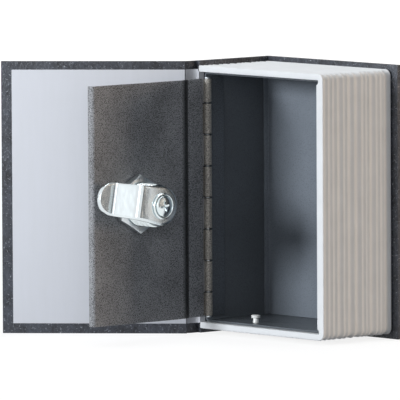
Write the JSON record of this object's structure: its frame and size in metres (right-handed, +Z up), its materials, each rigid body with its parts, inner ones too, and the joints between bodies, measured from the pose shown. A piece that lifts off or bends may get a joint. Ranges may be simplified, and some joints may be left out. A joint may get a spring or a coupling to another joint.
{
  "type": "book diversion safe",
  "caption": "Small cloth-bound book whose ribbed page block hides a steel box, shut by a hinged sheet steel door with a key-turned cam lock, standing open.",
  "frame": {"origin": "middle of the rear cover's tail edge, on the surface that the book stands on", "axes": "+X from the spine to the fore-edge, +Y from the front cover to the rear cover, +Z up from the tail to the head"},
  "size_m": [0.1426, 0.1112, 0.118],
  "materials": {
    "leatherette": "finely wrinkled dark slate leatherette, semi-matt",
    "board": "plain grey bookbinding board",
    "endpaper": "smooth pale grey-blue paper, matt",
    "page_block": "white moulded plastic, ribbed like page edges, warmer on the fore-edge",
    "painted_steel": "dark grey hammered stove enamel",
    "chrome": "polished chrome plate",
    "zinc": "bright zinc, satin",
    "brass": "plain stamped brass",
    "white_cap": "white moulded plastic"
  },
  "bodies": {
    "case": {"rear_board": "board", "rear_leatherette": "leatherette", "spine_board": "board", "spine_leatherette": "leatherette", "rear_joint": "leatherette", "front_joint": "leatherette", "joint_endpaper": "endpaper", "rear_endpaper": "endpaper", "page_block": "page_block", "box_walls": "painted_steel", "box_back": "painted_steel", "lock_strike": "painted_steel", "floor_stud": "white_cap", "floor_stud_cap": "white_cap", "hinge_pin": "zinc", "box_hinge_leaf": "painted_steel"},
    "cover": {"front_board": "board", "front_leatherette": "leatherette", "front_endpaper": "endpaper"},
    "door": {"door_sheet": "painted_steel", "door_hinge_leaf": "painted_steel", "lock_housing": "chrome", "lock_nut": "chrome"},
    "lock_plug": {"lock_plug": "zinc", "lock_wafer_1": "brass", "lock_wafer_2": "brass", "lock_wafer_3": "brass", "lock_wafer_4": "brass", "lock_wafer_5": "brass", "stop_washer": "zinc", "lock_cam": "chrome", "cup_washer": "chrome", "cam_screw": "chrome"}
  },
  "joints": [
    {"name": "cover_hinge", "type": "hinge", "parent": "case", "child": "cover", "pos_m": [-0.04135, -0.04484, 0.059], "axis": [0, 0, -1], "range_deg": [-136.2, 43.8], "deforming": ["front_joint", "joint_endpaper"]},
    {"name": "door_hinge", "type": "hinge", "parent": "case", "child": "door", "pos_m": [-0.03731, -0.03974, 0.05895], "axis": [0, 0, -1], "range_deg": [-90.1, 29.1]},
    {"name": "lock_turn", "type": "hinge", "parent": "door", "child": "lock_plug", "pos_m": [-0.03731, -0.08329, 0.05895], "axis": [-1, 0, 0], "range_deg": [-35.3, 54.7]}
  ],
  "couplings": [
    {"joint": "door_hinge", "follows": "cover_hinge", "ratio": 0.6608}
  ]
}
